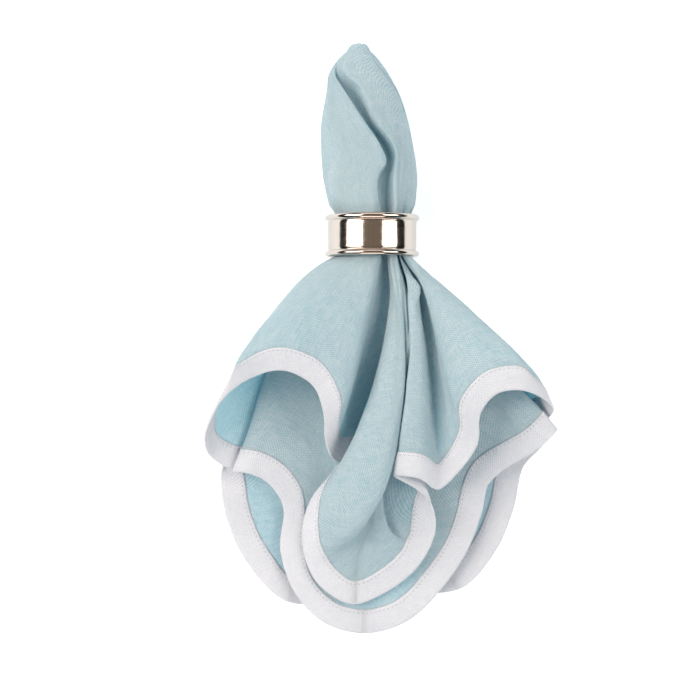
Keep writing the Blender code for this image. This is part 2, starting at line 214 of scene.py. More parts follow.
# The bunch and the tail beyond it: (y, left x, right x, bottom z, top z, roundness, groove's left x,
# groove's right x, groove depth). Up to y 28 the groove is flat and open; beyond it the left side of the
# cloth laps over it as a slanting lip.
TAIL = (
    (10.4, -19.6, 19.6, 3.5, 42.7, 0.8, 3.6, 9.2, 7),
    (11.6, -21.3, 20.7, 2.2, 43.4, 0.82, 3.5, 9.2, 7),
    (13.5, -21.9, 21.1, 1.9, 43.2, 0.85, 3.3, 9.2, 7),
    (17, -22.5, 21.5, 1.6, 42.6, 0.9, 2.8, 9.2, 7.5),
    (22, -23.2, 21.8, 1.0, 41.6, 0.95, 2.4, 9.1, 7.5),
    (27.5, -23.7, 22, 0.6, 40.8, 1.0, 3.2, 9.2, 8),
    (32, -24.1, 21.6, 0.4, 39.5, 1.0, 6.2, 9.8, 9),
    (35.5, -24.3, 21.3, 0.4, 38.3, 1.0, 6.7, 10.2, 9.5),
    (39, -24.6, 20.8, 0.3, 37, 1.0, 5.4, 10.0, 10),
    (45, -24.8, 19.8, 0.3, 34.5, 1.0, 2.3, 7.4, 10),
    (52.5, -25, 18.4, 0.3, 31.5, 1.0, -2.6, 1.6, 9),
    (64, -23.4, 15.6, 0.3, 26.5, 1.0, -9.6, -3.6, 9),
    (72.5, -22, 12.6, 0.3, 22.5, 1.0, -14.6, -7.6, 7.5),
    (80, -21.2, 8.6, 0.5, 18.5, 1.0, -18.2, -14, 3),
    (85, -18.6, 5.2, 1.2, 15.5, 1.0, -17, -15, 0),
    (89, -15.4, 2.2, 2, 13, 1.0, -14, -12, 0),
    (92.6, -11.6, -1.2, 3, 10.6, 1.0, -9, -8, 0),
)
TAIL_TIP = (-6.3, 96.4, 6.5)
TAIL_ROWS = 30
TAIL_CROWDING = 1.3     # draws the tail's rows together towards its tip
LIP_SOFTNESS = 0.9
BANK_SOFTNESS = 2.2
PLEAT_COUNT = 22        # knife pleats that take up the cloth inside the bunch
PLEAT_DEPTH = 10.5
PLEAT_SPREAD = 0.012


def unit(vectors):
    return vectors / np.maximum(np.linalg.norm(vectors, axis=-1, keepdims=True), 1e-9)


# ---------------------------------------------------------------- the sheet


def fold_places():
    """Every row of FOLDS in turn: hem, seam and mouth points, and how far round the cut it lies."""
    names = [(fold, row[0]) for fold, rows in FOLDS.items() for row in rows]
    rows = np.array([row[1:] for fold in FOLDS.values() for row in fold], dtype=float)
    hem, seam = rows[:, 0:3], rows[:, 3:6]
    seam = hem + unit(seam - hem) * BORDER_WIDTH
    mouth = np.column_stack([rows[:, 6], np.full(len(rows), MOUTH_Y), rows[:, 7]])
    steps = np.linalg.norm(np.roll(hem, -1, axis=0) - hem, axis=1)
    run = np.concatenate([[0], np.cumsum(steps)])
    marks = [run[names.index((fold, name))] for fold, name, _ in CUT_PLACES] + [run[-1]]
    shares = [share for _, _, share in CUT_PLACES] + [1.0]
    around = np.interp(run[:-1], marks, shares)
    return np.hstack([hem, seam, mouth]), around


def smooth_loop(places, around, step):
    """Points along a closed smooth curve through the places, at most step apart on the hem."""
    count = len(places)
    gaps = np.linalg.norm(np.roll(places, -1, axis=0)[:, :3] - places[:, :3], axis=1)
    before, after = np.roll(gaps, 1)[:, None], gaps[:, None]
    back = (places - np.roll(places, 1, axis=0)) / before
    ahead = (np.roll(places, -1, axis=0) - places) / after
    slopes = (back * after + ahead * before) / (before + after)
    shares = np.append(around, 1.0)
    points, turns = [], []
    for i in range(count):
        j = (i + 1) % count
        pieces = max(1, math.ceil(gaps[i] / step))
        for k in range(pieces):
            t = k / pieces
            points.append(
                (1 + 2 * t) * (1 - t) ** 2 * places[i]
                + t * (1 - t) ** 2 * gaps[i] * slopes[i]
                + t * t * (3 - 2 * t) * places[j]
                + t * t * (t - 1) * gaps[i] * slopes[j]
            )
            turns.append(shares[i] + t * (shares[i + 1] - shares[i]))
    return np.array(points), np.array(turns)


def fan_grid(stations):
    """Rows of points from the mouth of the ring out to the hem, one column for each station."""
    hem, seam, mouth = stations[:, 0:3], stations[:, 3:6], stations[:, 6:9]
    seam = hem + unit(seam - hem) * BORDER_WIDTH
    span = np.linalg.norm(seam - mouth, axis=1, keepdims=True)
    beside = (mouth[:, 0] - PARTING_X) / BUNCH_RADIUS
    flare = np.interp(beside, *np.transpose(FLARE))
    above = (mouth[:, 2] - RING_HEIGHT) / BUNCH_RADIUS
    rise = np.where(above > 0, 0.5, 0.1) * above
    leave = unit(np.column_stack([flare, -np.ones(len(mouth)), rise]))
    leave = unit(leave + 0.4 * unit(seam - mouth))
    arrive = unit(hem - seam)
    push = np.clip(span / 100, 0.9, 1.35)
    pull = np.clip((span - 40) / 100, 0.35, 0.95)
    grid = [mouth]
    for row in range(1, FAN_ROWS + 1):
        t = row / FAN_ROWS
        grid.append(
            (1 + 2 * t) * (1 - t) ** 2 * mouth
            + t * (1 - t) ** 2 * span * push * leave
            + t * t * (3 - 2 * t) * seam
            + t * t * (t - 1) * span * pull * arrive
        )
    grid += [(seam + hem) / 2, hem]
    return np.array(grid)


def ease_layers(grid):
    """Move layers that lie closer than LAYER_SPACE apart, a little at a time, and keep them off the table."""
    rows, columns = grid.shape[:2]
    faces, tags = [], []
    for row in range(rows - 1):
        for column in range(columns):
            after = (column + 1) % columns
            a, b = row * columns + column, row * columns + after
            faces += [(a, b, b + columns), (a, b + columns, a + columns)]
            tags += [column, column]
    flat = grid.reshape(-1, 3).copy()
    for _ in range(EASE_STEPS):
        tree = BVHTree.FromPolygons(flat.tolist(), faces)
        push, share = np.zeros_like(flat), np.zeros(len(flat))
        for index, point in enumerate(flat):
            for place, normal, face, distance in tree.find_nearest_range(Vector(point), LAYER_SPACE):
                apart = (tags[face] - index) % columns
                if apart < 4 or apart > columns - 4 or distance < 1e-5:
                    continue
                away = (Vector(point) - place) / distance
                if abs(away.dot(normal)) < 0.6:
                    continue
                step = np.array(away) * (LAYER_SPACE - distance) * 0.5
                push[index] += step
                share[index] += 1
                for corner in faces[face]:
                    push[corner] -= step
                    share[corner] += 1
        flat += push / np.maximum(share, 1)[:, None]
        flat[:, 2] = np.maximum(flat[:, 2], PANEL_THICKNESS)
        bunch = flat[:columns, (0, 2)] - (0, RING_HEIGHT)
        reach = np.linalg.norm(bunch, axis=1)
        bunch *= np.minimum(1, MOUTH_REACH / reach)[:, None]
        flat[:columns, 0] = bunch[:, 0]
        flat[:columns, 2] = bunch[:, 1] + RING_HEIGHT
    return flat.reshape(rows, columns, 3)


def spread(values, times, new_times, closed=False):
    """Values along the first axis at times, read off smoothly at new_times; closed runs once round."""
    if closed:
        values = np.concatenate([values[-2:], values, values[:3]])
        period = len(times)
        times = np.arange(-2, period + 3, dtype=float)
    slopes = np.gradient(values, times, axis=0)
    place = np.clip(np.searchsorted(times, new_times, side="right") - 1, 0, len(times) - 2)
    gap = times[place + 1] - times[place]
    t = (new_times - times[place]) / gap
    shape = (-1,) + (1,) * (values.ndim - 1)
    t, gap = t.reshape(shape), gap.reshape(shape)
    return (
        (1 + 2 * t) * (1 - t) ** 2 * values[place]
        + t * (1 - t) ** 2 * gap * slopes[place]
        + t * t * (3 - 2 * t) * values[place + 1]
        + t * t * (t - 1) * gap * slopes[place + 1]
    )


def soft_noise(rows, columns, row_cells, column_cells, seed):
    """Smooth random hills from -1 to 1 that join up round the columns."""
    draw = np.random.default_rng(seed).uniform(-1, 1, (row_cells + 1, column_cells))
    across = spread(draw.T, np.arange(column_cells), np.arange(columns) * column_cells / columns, closed=True)
    return spread(across.T, np.arange(row_cells + 1.0), np.linspace(0, row_cells, rows))


def step_up(x, start, width):
    t = np.clip((x - start) / width + 0.5, 0, 1)
    return t * t * (3 - 2 * t)


def tail_grid(mouth):
    """The mouth's folds carried back through the ring, easing into a tail as the pleats die out. The
    panel folded over from the left ends in a soft lip beside a slanting groove."""
    bunch = mouth[:, (0, 2)] - (0, RING_HEIGHT)
    steps = np.linalg.norm(np.roll(bunch, -1, axis=0) - bunch, axis=1)
    turn = 2 * math.pi * (np.cumsum(steps) - steps[0]) / steps.sum()
    angle = (math.atan2(bunch[0, 1], bunch[0, 0]) + turn + math.pi / 2) % (2 * math.pi) - math.pi / 2
    share = np.arange(len(bunch)) / len(bunch)
    tuck = np.zeros(len(bunch))
    for k in range(PLEAT_COUNT):
        pleat = k / PLEAT_COUNT
        away = np.abs((share - pleat + 0.5) % 1 - 0.5)
        tuck = np.maximum(tuck, np.clip(1 - away / PLEAT_SPREAD, 0, 1))
    tuck *= np.clip(0.4 - 2 * np.sin(angle), 0, 1)
    table = np.array(TAIL, dtype=float)
    share = np.linspace(0, 1, TAIL_ROWS + 1)[1:] ** TAIL_CROWDING
    ys = (TAIL_TIP[1] - (TAIL_TIP[1] - table[0, 0]) * share)[::-1]
    shapes = spread(table[:, 1:], table[:, 0], np.minimum(ys, table[-1, 0]))
    lip_knots = None
    end = np.clip((ys - table[-1, 0]) / (TAIL_TIP[1] - table[-1, 0]), 0, 1)
    rows = []
    for y, shape, close in zip(ys, shapes, end):
        left, right, bottom, top, roundness, groove_left, groove_right, groove_depth = shape
        shrink = math.sqrt(max(0.0, 1 - close**2))
        half_width, half_height = shrink * (right - left) / 2, shrink * (top - bottom) / 2
        banks = np.array([groove_right, groove_left])
        ends = np.clip((banks - (left + right) / 2) * 2 / (right - left), -1, 1)
        knots = [-math.pi / 2, *np.arccos(ends), 1.5 * math.pi]
        lip_knots = lip_knots or knots
        turned = np.interp(angle, lip_knots, knots)
        plain = np.column_stack([np.cos(turned), np.sin(turned)])
        section = (1 - roundness) * bunch / BUNCH_RADIUS + roundness * plain
        depth = PLEAT_DEPTH * tuck * min(1.0, half_width / 15)
        section = section * np.maximum(0.25, 1 - depth / BUNCH_RADIUS)[:, None]
        x = (1 - close) * (left + right) / 2 + close * TAIL_TIP[0] + half_width * section[:, 0]
        z = (1 - close) * (bottom + top) / 2 + close * TAIL_TIP[2] + half_height * section[:, 1]
        dip = step_up(x, groove_left, LIP_SOFTNESS) * (1 - step_up(x, groove_right, 2 * BANK_SOFTNESS))
        lip = 0.15 * np.exp(-(((x - groove_left) / 2.5 + 1) ** 2))
        z += np.where(section[:, 1] > 0, groove_depth * (lip - dip), 0)
        rows.append(np.column_stack([x, np.full(len(x), y), z]))
    return np.array(rows[::-1])


def grid_normals(grid):
    along = np.roll(grid, -1, axis=1) - np.roll(grid, 1, axis=1)
    return unit(np.cross(along, np.gradient(grid, axis=0)))


def cut_outline(around):
    """Where a share of the way round the cut lies on the rounded square, from its middle, in mm."""
    half, radius = SIDE / 2, CORNER_RADIUS
    points = []
    for share in around:
        side, t = divmod(share * 4, 1)
        along = np.array([half, -half]) + np.array([0, SIDE]) * t
        inset = along.copy()
        overrun = abs(along[1]) - (half - radius)
        if overrun > 0:
            inset[0] = half - radius + math.sqrt(max(0.0, radius**2 - overrun**2))
        turn = side * math.pi / 2
        points.append(
            (inset[0] * math.cos(turn) - inset[1] * math.sin(turn),
             inset[0] * math.sin(turn) + inset[1] * math.cos(turn))
        )
    return np.array(points)


def napkin_sheet():
    """The whole cloth as a fine grid from the tail's tip to the hem, and each point's place on the cut."""
    places, around = fold_places()
    stations, turns = smooth_loop(places, around, STATION_STEP)
    coarse = ease_layers(fan_grid(stations))
    columns = coarse.shape[1]
    fine_columns = columns * COLUMN_SPLIT
    new_columns = np.arange(fine_columns) / COLUMN_SPLIT
    across = spread(coarse.transpose(1, 0, 2), np.arange(columns), new_columns, closed=True)
    old_rows = np.arange(coarse.shape[0], dtype=float)
    fan_rows = np.linspace(0, FAN_ROWS, FINE_ROWS)
    fan = spread(across.transpose(1, 0, 2), old_rows, fan_rows)
    edge = spread(across.transpose(1, 0, 2), old_rows, np.linspace(FAN_ROWS, FAN_ROWS + 2, 11))
    tail = tail_grid(fan[0])
    sheet = np.concatenate([tail, fan, edge[1:]])
    shares = np.interp(new_columns, np.arange(columns + 1), np.append(turns, 1.0))
    steps = np.linalg.norm(np.diff(sheet, axis=0), axis=2)
    runs = np.concatenate([np.zeros((1, fine_columns)), np.cumsum(steps, axis=0)])
    start = np.linalg.norm(sheet[0] - np.array(TAIL_TIP), axis=1)
    radius = (runs + start) / (runs[-1] + start)
    cut = cut_outline(shares)[None] * radius[..., None]
    return sheet, cut, len(tail), len(tail) + len(fan) - 1


# ---------------------------------------------------------------- meshes


def add_piece(name, points, faces, finish, layers=None, node=None):
    """A smooth mesh from points in mm and faces; layers are {uv map: value of each point}."""
    mesh = bpy.data.meshes.new(name)
    mesh.from_pydata(((points + RING_MIDDLE) * MM).tolist(), [], faces)
    mesh.materials.append(finish)
    corners = np.empty(len(mesh.loops), dtype=np.int32)
    mesh.loops.foreach_get("vertex_index", corners)
    for layer, values in (layers or {}).items():
        uv = mesh.uv_layers.new(name=layer)
        uv.data.foreach_set("uv", np.asarray(values, dtype=np.float32)[corners].ravel())
    mesh.shade_smooth()
    made = bpy.data.objects.new(name, mesh)
    bpy.context.collection.objects.link(made)
    if node:
        own(made, node)
    return made


def own(piece, node):
    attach(piece, "root")
    if node:
        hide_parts(node)


def wrap_faces(first, second, columns, flip=False):
    """Quads between two rows of points that run all the way round."""
    faces = []
    for column in range(columns):
        after = (column + 1) % columns
        quad = (first + column, first + after, second + after, second + column)
        faces.append(quad[::-1] if flip else quad)
    return faces


def panel_piece(sheet, normals, cut, finish):
    """The napkin's middle: two faces a thread apart, closed at the tail's tip and inside the border."""
    rows, columns = sheet.shape[:2]
    half = PANEL_THICKNESS / 2
    top, under = sheet + normals * half, sheet - normals * half
    points = np.concatenate([top.reshape(-1, 3), under.reshape(-1, 3)])
    tip = np.array(TAIL_TIP)
    inner = tip + unit(sheet[0].mean(axis=0) - tip) * 2 * PANEL_THICKNESS
    points = np.concatenate([points, [tip, inner]])
    points[:, 2] = np.maximum(points[:, 2], 0.0)
    back, faces = rows * columns, []
    for row in range(rows - 1):
        faces += wrap_faces(row * columns, (row + 1) * columns, columns)
        faces += wrap_faces(back + row * columns, back + (row + 1) * columns, columns, flip=True)
    faces += wrap_faces((rows - 1) * columns, back + (rows - 1) * columns, columns)
    for column in range(columns):
        after = (column + 1) % columns
        faces.append((after, column, 2 * back))
        faces.append((back + column, back + after, 2 * back + 1))
    flat = np.concatenate([cut.reshape(-1, 2), cut.reshape(-1, 2), [[0, 0], [0, 0]]])
    return add_piece("linen_panel", points, faces, finish, {"cut": flat}, "panel")


def border_piece(edge, normals, cut, finish):
    """The binding: one strip folded over the panel's edge, with a soft round fold at the hem."""
    rows, columns = edge.shape[:2]
    outer = PANEL_THICKNESS / 2 + BINDING_THICKNESS + 0.03
    inner = PANEL_THICKNESS / 2 + 0.03
    run = np.linspace(0, BORDER_WIDTH, rows)
    straight = [k for k in range(rows) if run[k] <= BORDER_WIDTH - outer]
    section = [(row, outer, 0.0) for row in straight]
    for angle in (60, 30, 0, -30, -60):
        turn = math.radians(angle)
        section.append((rows - 1, outer * math.sin(turn), outer * math.cos(turn) - outer))
    section += [(row, -outer, 0.0) for row in reversed(straight)]
    slot_end = straight[-1]
    section += [(row, -inner, 0.0) for row in (0, 1, slot_end // 2, slot_end)]
    section += [(row, inner, 0.0) for row in (slot_end, slot_end // 2, 1, 0)]
    outward = unit(edge[-1] - edge[-2])
    lengths = np.linalg.norm(np.roll(edge[0], -1, axis=0) - edge[0], axis=1)
    along = np.concatenate([[0], np.cumsum(lengths)[:-1]])
    points, cuts, places = [], [], []
    for row, lift, reach in section:
        points.append(edge[row] + normals[row] * lift + outward * reach)
        cuts.append(cut[row])
        places.append(np.column_stack([along, np.full(columns, run[row])]))
    faces = []
    for k in range(len(section)):
        faces += wrap_faces(k * columns, ((k + 1) % len(section)) * columns, columns)
    points = np.concatenate(points)
    points[:, 2] = np.maximum(points[:, 2], 0.0)
    layers = {"cut": np.concatenate(cuts), "edge": np.concatenate(places)}
    return add_piece("border_binding", points, faces, finish, layers, "border")


def ring_piece(finish):
    """The turned ring: a plain band with a rolled bead and a fine groove at each end."""
    sides = 160
    bead_y = RING_LENGTH / 2 - BEAD_RADIUS
    arc = []
    for step in range(19):
        angle = math.radians(170 - 250 * step / 18)
        arc.append((BAND_RADIUS + BEAD_RADIUS * math.cos(angle), bead_y + BEAD_RADIUS * math.sin(angle)))
    groove = [(BAND_RADIUS - 0.22, bead_y - BEAD_RADIUS - 0.15), (BAND_RADIUS, bead_y - BEAD_RADIUS - 0.55)]
    half = [(BORE_RADIUS, bead_y + 0.4)] + arc[1:-1] + groove
    band = [(BAND_RADIUS + 0.02 * math.sin(k), bead_y - BEAD_RADIUS - 0.55 - k * 1.0) for k in range(1, 7)]
    profile = half + band
    profile += [(radius, -y) for radius, y in reversed(profile)]
    points, faces = [], []
    for side in range(sides):
        angle = 2 * math.pi * (side + 0.5) / sides
        for radius, y in profile:
            height = max(RING_HEIGHT - radius * math.cos(angle), 0.0)
            points.append((radius * math.sin(angle), y + RING_SLIP, height))
    count = len(profile)
    for side in range(sides):
        after = (side + 1) % sides
        for k in range(count):
            nxt = (k + 1) % count
            faces.append((side * count + k, after * count + k, after * count + nxt, side * count + nxt))
    return add_piece("napkin_ring", np.array(points), faces, finish, None, "ring")


def along_line(line, spacing):
    """Places every spacing along a closed line: (column as a fraction, point)."""
    steps = np.linalg.norm(np.roll(line, -1, axis=0) - line, axis=1)
    run = np.concatenate([[0], np.cumsum(steps)])
    marks = np.linspace(0, run[-1], int(run[-1] / spacing), endpoint=False)
    return np.interp(marks, run, np.arange(len(line) + 1)), run


def stitch_tree(thread):
    """Geometry Nodes: one short thread on each point of the line, turned along the line."""
    tree = bpy.data.node_groups.new("running stitch", "GeometryNodeTree")
    tree.interface.new_socket("Geometry", in_out="INPUT", socket_type="NodeSocketGeometry")
    tree.interface.new_socket("Stitch Length", in_out="INPUT", socket_type="NodeSocketFloat")
    tree.interface.new_socket("Thread Radius", in_out="INPUT", socket_type="NodeSocketFloat")
    tree.interface.new_socket("Unevenness", in_out="INPUT", socket_type="NodeSocketFloat")
    tree.interface.new_socket("Geometry", in_out="OUTPUT", socket_type="NodeSocketGeometry")
    nodes, link = tree.nodes, tree.links.new
    given, out = nodes.new("NodeGroupInput"), nodes.new("NodeGroupOutput")
    ball = nodes.new("GeometryNodeMeshUVSphere")
    ball.inputs["Segments"].default_value = 8
    ball.inputs["Rings"].default_value = 5
    ball.inputs["Radius"].default_value = 0.5
    way = nodes.new("GeometryNodeInputNamedAttribute")
    way.data_type = "FLOAT_VECTOR"
    way.inputs["Name"].default_value = "way"
    face = nodes.new("GeometryNodeInputNamedAttribute")
    face.data_type = "FLOAT_VECTOR"
    face.inputs["Name"].default_value = "face"
    turn = nodes.new("FunctionNodeAlignRotationToVector")
    turn.axis = "X"
    stand = nodes.new("FunctionNodeAlignRotationToVector")
    stand.axis, stand.pivot_axis = "Z", "X"
    wander = nodes.new("FunctionNodeRandomValue")
    wander.data_type = "FLOAT"
    wander.inputs["Seed"].default_value = 11
    less = nodes.new("ShaderNodeMath")
    less.operation = "SUBTRACT"
    less.inputs[0].default_value = 1.0
    length = nodes.new("ShaderNodeMath")
    length.operation = "MULTIPLY"
    size = nodes.new("ShaderNodeCombineXYZ")
    wide = nodes.new("ShaderNodeMath")
    wide.operation = "MULTIPLY"
    wide.inputs[1].default_value = 2.0
    put = nodes.new("GeometryNodeInstanceOnPoints")
    real = nodes.new("GeometryNodeRealizeInstances")
    finish = nodes.new("GeometryNodeSetMaterial")
    finish.inputs["Material"].default_value = thread
    link(way.outputs["Attribute"], turn.inputs["Vector"])
    link(turn.outputs["Rotation"], stand.inputs["Rotation"])
    link(face.outputs["Attribute"], stand.inputs["Vector"])
    link(given.outputs["Unevenness"], less.inputs[1])
    link(less.outputs[0], wander.inputs[2])
    wander.inputs[3].default_value = 1.1
    link(wander.outputs[1], length.inputs[0])
    link(given.outputs["Stitch Length"], length.inputs[1])
    link(length.outputs[0], size.inputs["X"])
    link(given.outputs["Thread Radius"], wide.inputs[0])
    link(wide.outputs[0], size.inputs["Y"])
    link(wide.outputs[0], size.inputs["Z"])
    link(given.outputs["Geometry"], put.inputs["Points"])
    link(ball.outputs["Mesh"], put.inputs["Instance"])
    link(stand.outputs["Rotation"], put.inputs["Rotation"])
    link(size.outputs["Vector"], put.inputs["Scale"])
    link(put.outputs["Instances"], real.inputs["Geometry"])
    link(real.outputs["Geometry"], finish.inputs["Geometry"])
    link(finish.outputs["Geometry"], out.inputs["Geometry"])
    return tree


def stitches_piece(edge, normals, thread):
    """The stitch line that closes the binding, on both of its faces."""
    rows = edge.shape[0]
    place = STITCH_INSET / BORDER_WIDTH * (rows - 1)
    low, part = int(place), place - int(place)
    line = edge[low] * (1 - part) + edge[low + 1] * part
    up = unit(normals[low])
    columns, _ = along_line(line, STITCH_PITCH)
    whole = np.arange(len(line))
    ends = np.append(whole, len(line))

    def at_stitches(values):
        joined = np.vstack([values, values[:1]])
        return np.column_stack([np.interp(columns, ends, joined[:, k]) for k in range(3)])

    middle, out = at_stitches(line), unit(at_stitches(up))
    way = unit(np.roll(middle, -1, axis=0) - np.roll(middle, 1, axis=0))
    lift = PANEL_THICKNESS / 2 + BINDING_THICKNESS + 0.03 + 0.02
    points = np.concatenate([middle + out * lift, middle + way * STITCH_PITCH / 2 - out * lift])
    points[:, 2] = np.maximum(points[:, 2], THREAD_RADIUS + 0.02)
    mesh = bpy.data.meshes.new("stitch line")
    mesh.from_pydata(((points + RING_MIDDLE) * MM).tolist(), [], [])
    for name, values in (("way", np.concatenate([way, way])), ("face", np.concatenate([out, -out]))):
        mesh.attributes.new(name, "FLOAT_VECTOR", "POINT").data.foreach_set("vector", values.ravel())
    holder = bpy.data.objects.new("stitch line", mesh)
    bpy.context.collection.objects.link(holder)
    tree = stitch_tree(thread)
    modifier = holder.modifiers.new("stitches", "NODES")
    modifier.node_group = tree
    sockets = {item.name: item.identifier for item in tree.interface.items_tree if item.in_out == "INPUT"}
    modifier[sockets["Stitch Length"]] = STITCH_LENGTH * MM
    modifier[sockets["Thread Radius"]] = THREAD_RADIUS * MM
    modifier[sockets["Unevenness"]] = 0.15
    bpy.context.view_layer.update()
    seen = holder.evaluated_get(bpy.context.evaluated_depsgraph_get())
    solid = bpy.data.meshes.new_from_object(seen)
    bpy.data.objects.remove(holder)
    made = bpy.data.objects.new("border_stitching", solid)
    bpy.context.collection.objects.link(made)
    solid.shade_smooth()
    own(made, None)
    return made


# ---------------------------------------------------------------- finishes


def maths(tree, operation, first, second=None):
    node = tree.nodes.new("ShaderNodeMath")
    node.operation = operation
    for socket, value in zip(node.inputs, (first, second)):
        if value is None:
            continue
        if isinstance(value, (int, float)):
            socket.default_value = value
        else:
            tree.links.new(value, socket)
    return node.outputs[0]


def streaks(tree, where, scale, seed, detail=2.0):
    """Noise drawn out by scale = (along, across, depth)."""
    mapping = tree.nodes.new("ShaderNodeMapping")
    mapping.inputs["Scale"].default_value = scale
    mapping.inputs["Location"].default_value = (seed, seed * 1.7, seed * 0.3)
    tree.links.new(where, mapping.inputs["Vector"])
    noise = tree.nodes.new("ShaderNodeTexNoise")
    noise.inputs["Scale"].default_value = 1.0
    noise.inputs["Detail"].default_value = detail
    noise.inputs["Roughness"].default_value = 0.55
    tree.links.new(mapping.outputs["Vector"], noise.inputs["Vector"])
    return noise.outputs["Factor" if "Factor" in noise.outputs else "Fac"]


def linen_group():
    """Plain-woven linen: fine threads both ways on the cut, some thicker and paler than the rest."""
    tree = bpy.data.node_groups.new("linen weave", "ShaderNodeTree")
    face = tree.interface
    face.new_socket("Light Thread", in_out="INPUT", socket_type="NodeSocketColor")
    face.new_socket("Dark Thread", in_out="INPUT", socket_type="NodeSocketColor")
    pitch = face.new_socket("Thread Pitch", in_out="INPUT", socket_type="NodeSocketFloat")
    pitch.default_value = 0.6
    slub = face.new_socket("Slub", in_out="INPUT", socket_type="NodeSocketFloat")
    slub.default_value = 1.0
    face.new_socket("Color", in_out="OUTPUT", socket_type="NodeSocketColor")
    face.new_socket("Roughness", in_out="OUTPUT", socket_type="NodeSocketFloat")
    face.new_socket("Height", in_out="OUTPUT", socket_type="NodeSocketFloat")
    given, out = tree.nodes.new("NodeGroupInput"), tree.nodes.new("NodeGroupOutput")
    flat = tree.nodes.new("ShaderNodeUVMap")
    flat.uv_map = "cut"
    where = flat.outputs["UV"]
    split = tree.nodes.new("ShaderNodeSeparateXYZ")
    tree.links.new(where, split.inputs[0])
    warp = streaks(tree, where, (3.0, 0.22, 1), 3.1)
    weft = streaks(tree, where, (0.22, 3.0, 1), 8.4)
    cloudy = streaks(tree, where, (0.035, 0.035, 1), 5.0, 3.0)
    turns = []
    for k in (0, 1):
        thread = maths(tree, "DIVIDE", split.outputs[k], given.outputs["Thread Pitch"])
        turns.append(maths(tree, "MULTIPLY", thread, math.pi))
    over = maths(tree, "MULTIPLY", maths(tree, "SINE", turns[0]), maths(tree, "SINE", turns[1]))
    knots = maths(tree, "MULTIPLY", over, 0.5)
    threads = maths(tree, "SUBTRACT", maths(tree, "ADD", warp, weft), 1.0)
    threads = maths(tree, "MULTIPLY", threads, given.outputs["Slub"])
    tone = maths(tree, "ADD", maths(tree, "MULTIPLY", threads, 1.6), maths(tree, "MULTIPLY", knots, 1.3))
    tone = maths(tree, "ADD", tone, maths(tree, "MULTIPLY", cloudy, 0.3))
    tone = maths(tree, "ADD", tone, 0.35)
    mix = tree.nodes.new("ShaderNodeMix")
    mix.data_type = "RGBA"
    colours = [s for s in mix.inputs if s.type == "RGBA"]
    factor = [s for s in mix.inputs if s.type == "VALUE"][0]
    tree.links.new(tone, factor)
    tree.links.new(given.outputs["Dark Thread"], colours[0])
    tree.links.new(given.outputs["Light Thread"], colours[1])
    result = [s for s in mix.outputs if s.type == "RGBA"][0]
    tree.links.new(result, out.inputs["Color"])
    tree.links.new(maths(tree, "ADD", maths(tree, "MULTIPLY", warp, 0.2), 0.75), out.inputs["Roughness"])
    tree.links.new(maths(tree, "ADD", maths(tree, "MULTIPLY", threads, 0.9), knots), out.inputs["Height"])
    return tree


def pucker_group():
    """Small hollows where the stitches draw the binding in, and a soft ridge beside them."""
    tree = bpy.data.node_groups.new("stitch puckers", "ShaderNodeTree")
    face = tree.interface
    face.new_socket("Height", in_out="INPUT", socket_type="NodeSocketFloat")
    depth = face.new_socket("Depth", in_out="INPUT", socket_type="NodeSocketFloat")
    depth.default_value = 1.0
    face.new_socket("Height", in_out="OUTPUT", socket_type="NodeSocketFloat")
    given, out = tree.nodes.new("NodeGroupInput"), tree.nodes.new("NodeGroupOutput")
    edge = tree.nodes.new("ShaderNodeUVMap")
    edge.uv_map = "edge"
    split = tree.nodes.new("ShaderNodeSeparateXYZ")
    tree.links.new(edge.outputs["UV"], split.inputs[0])
    beat = maths(tree, "COSINE", maths(tree, "MULTIPLY", split.outputs[0], 2 * math.pi / STITCH_PITCH))
    away = maths(tree, "DIVIDE", maths(tree, "SUBTRACT", split.outputs[1], STITCH_INSET), 1.1)
    square = maths(tree, "POWER", maths(tree, "ABSOLUTE", away), 2.0)
    near = maths(tree, "DIVIDE", 1.0, maths(tree, "ADD", square, 1.0))
    hollow = maths(tree, "MULTIPLY", maths(tree, "ADD", maths(tree, "MULTIPLY", beat, 0.45), -0.8), near)
    ripple = streaks(tree, edge.outputs["UV"], (0.28, 0.02, 1), 2.0)
    total = maths(tree, "ADD", hollow, maths(tree, "MULTIPLY", ripple, 1.6))
    total = maths(tree, "MULTIPLY", total, given.outputs["Depth"])
    tree.links.new(maths(tree, "ADD", total, given.outputs["Height"]), out.inputs["Height"])
    return tree


def wear_group():
    """Faint rubbed marks on polished plate."""
    tree = bpy.data.node_groups.new("polish marks", "ShaderNodeTree")
    tree.interface.new_socket("Roughness", in_out="OUTPUT", socket_type="NodeSocketFloat")
    tree.interface.new_socket("Height", in_out="OUTPUT", socket_type="NodeSocketFloat")
    out = tree.nodes.new("NodeGroupOutput")
    place = tree.nodes.new("ShaderNodeTexCoord").outputs["Object"]
    rubbed = streaks(tree, place, (60, 500, 60), 1.0, 4.0)
    waves = streaks(tree, place, (90, 160, 90), 4.0, 1.0)
    tree.links.new(maths(tree, "ADD", maths(tree, "MULTIPLY", rubbed, 0.16), 0.05), out.inputs["Roughness"])
    tree.links.new(waves, out.inputs["Height"])
    return tree


